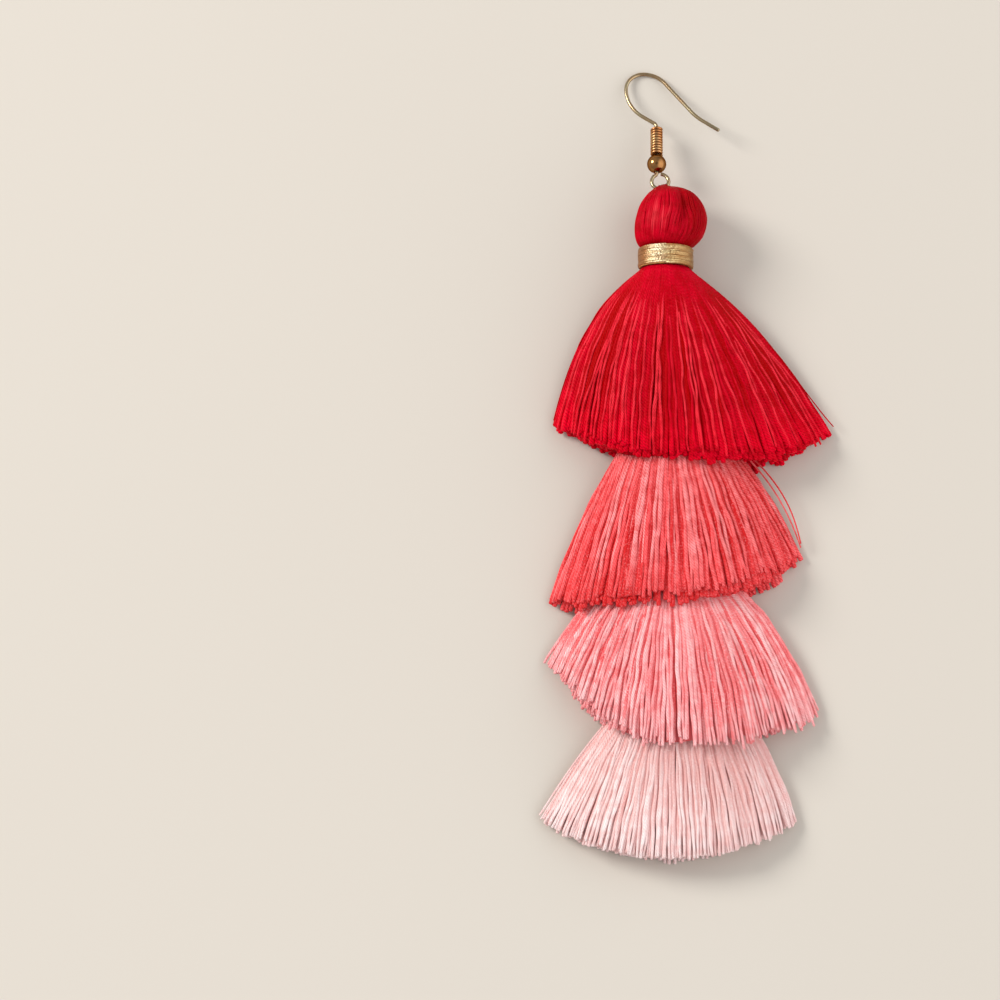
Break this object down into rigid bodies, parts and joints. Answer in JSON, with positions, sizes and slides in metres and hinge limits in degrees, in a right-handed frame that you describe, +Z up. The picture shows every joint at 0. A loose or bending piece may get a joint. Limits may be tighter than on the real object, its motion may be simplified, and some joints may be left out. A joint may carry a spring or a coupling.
{
  "type": "tassel earring",
  "caption": "Long tiered tassel earring: a fish-hook ear wire with coil and ball holds a bound thread ball over four fanned thread tiers, lying flat on a table",
  "frame": {"origin": "on the table under the middle of the table area that the lying earring covers", "axes": "+X across the drop, +Y along the drop from the last hem to the ear wire, +Z up from the table"},
  "size_m": [0.0428, 0.1197, 0.0103],
  "materials": {
    "gold_wire": "polished, gold-toned",
    "gold_coil": "polished, gold-toned",
    "gold_ball": "polished, gold-toned",
    "red_thread": "glossy twisted thread",
    "metal_thread": "wound metallic thread",
    "coral_thread": "twisted thread",
    "salmon_thread": "twisted thread",
    "blush_thread": "twisted thread",
    "core_cord": "plain cord"
  },
  "bodies": {
    "root": {"ear_hook": "gold_wire", "hook_coil": "gold_coil", "hook_ball": "gold_ball", "tassel_red": "red_thread", "gold_binding": "metal_thread", "tassel_coral": "coral_thread", "tassel_salmon": "salmon_thread", "tassel_blush": "blush_thread", "core_cord": "core_cord"}
  },
  "joints": []
}
